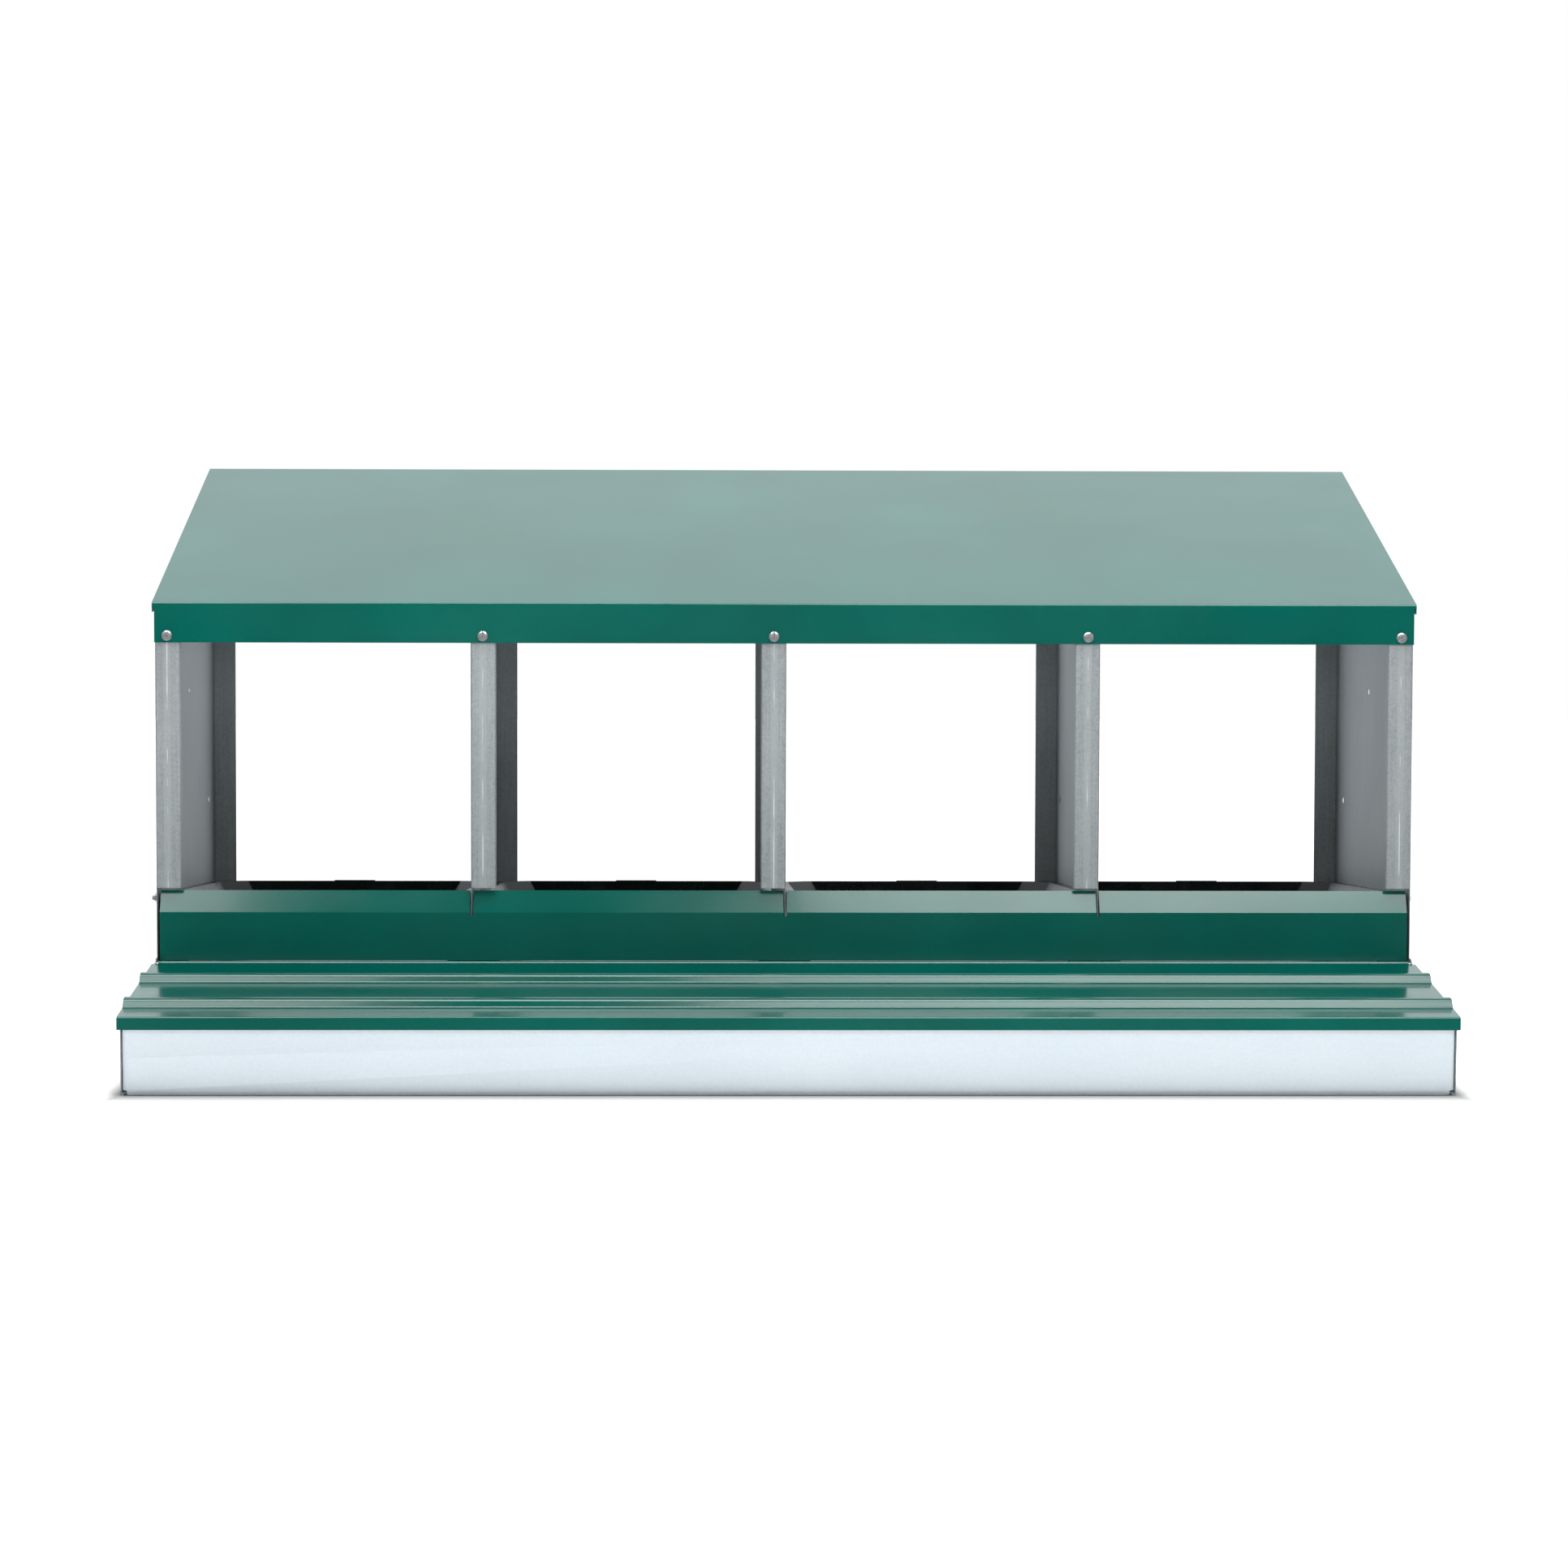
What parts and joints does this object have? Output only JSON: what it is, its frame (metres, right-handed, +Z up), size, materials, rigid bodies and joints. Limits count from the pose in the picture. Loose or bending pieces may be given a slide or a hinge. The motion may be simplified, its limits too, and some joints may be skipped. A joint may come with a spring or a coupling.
{
  "type": "roll-away poultry nest box",
  "caption": "Row of open-fronted steel hen nests under one sloping roof, with sloping plastic nest inserts, a kick board, and a front egg tray under a hinged ribbed lid.",
  "frame": {"origin": "middle of the footprint, on the floor", "axes": "+X along the row of nests to the right seen from the front, +Y to the back, +Z up"},
  "size_m": [1.21, 0.5444, 0.5843],
  "materials": {
    "green_paint": "glossy powder coat",
    "galvanised_steel": "spangled zinc coating",
    "black_plastic": "moulded, glossy",
    "zinc_plate": "bright zinc plate"
  },
  "bodies": {
    "frame": {"left_end_panel": "galvanised_steel", "divider_1": "galvanised_steel", "divider_2": "galvanised_steel", "divider_3": "galvanised_steel", "right_end_panel": "galvanised_steel", "roof_panel": "green_paint", "kick_board": "green_paint", "egg_tray": "galvanised_steel", "floor_pan": "galvanised_steel", "hinge_rod": "zinc_plate", "roof_front_screw_1": "zinc_plate", "roof_rear_screw_1": "zinc_plate", "pan_screw_1": "zinc_plate", "roof_front_nut_1": "zinc_plate", "roof_rear_nut_1": "zinc_plate", "pan_nut_1": "zinc_plate", "roof_front_screw_2": "zinc_plate", "roof_rear_screw_2": "zinc_plate", "pan_screw_2": "zinc_plate", "roof_front_nut_2": "zinc_plate", "roof_rear_nut_2": "zinc_plate", "pan_nut_2": "zinc_plate", "roof_front_screw_3": "zinc_plate", "roof_rear_screw_3": "zinc_plate", "pan_screw_3": "zinc_plate", "roof_front_nut_3": "zinc_plate", "roof_rear_nut_3": "zinc_plate", "pan_nut_3": "zinc_plate", "roof_front_screw_4": "zinc_plate", "roof_rear_screw_4": "zinc_plate", "pan_screw_4": "zinc_plate", "roof_front_nut_4": "zinc_plate", "roof_rear_nut_4": "zinc_plate", "pan_nut_4": "zinc_plate", "roof_front_screw_5": "zinc_plate", "roof_rear_screw_5": "zinc_plate", "pan_screw_5": "zinc_plate", "roof_front_nut_5": "zinc_plate", "roof_rear_nut_5": "zinc_plate", "pan_nut_5": "zinc_plate", "kick_bolt_left": "zinc_plate", "kick_nut_left": "zinc_plate", "kick_bolt_right": "zinc_plate", "kick_nut_right": "zinc_plate", "tray_rivet_left": "zinc_plate", "pan_rivet_left": "zinc_plate", "tray_rivet_right": "zinc_plate", "pan_rivet_right": "zinc_plate"},
    "lid": {"egg_tray_lid": "green_paint"},
    "insert_1": {"nest_insert_1": "black_plastic"},
    "insert_2": {"nest_insert_2": "black_plastic"},
    "insert_3": {"nest_insert_3": "black_plastic"},
    "insert_4": {"nest_insert_4": "black_plastic"}
  },
  "joints": [
    {"name": "lid_hinge", "type": "hinge", "parent": "frame", "child": "lid", "pos_m": [0.0017, -0.0876, 0.0976], "axis": [-1, 0, 0], "range_deg": [0, 95]},
    {"name": "insert_1_lift", "type": "slide", "parent": "frame", "child": "insert_1", "axis": [0, 0, 1], "range_m": [0, 0.12]},
    {"name": "insert_2_lift", "type": "slide", "parent": "frame", "child": "insert_2", "axis": [0, 0, 1], "range_m": [0, 0.12]},
    {"name": "insert_3_lift", "type": "slide", "parent": "frame", "child": "insert_3", "axis": [0, 0, 1], "range_m": [0, 0.12]},
    {"name": "insert_4_lift", "type": "slide", "parent": "frame", "child": "insert_4", "axis": [0, 0, 1], "range_m": [0, 0.12]}
  ]
}
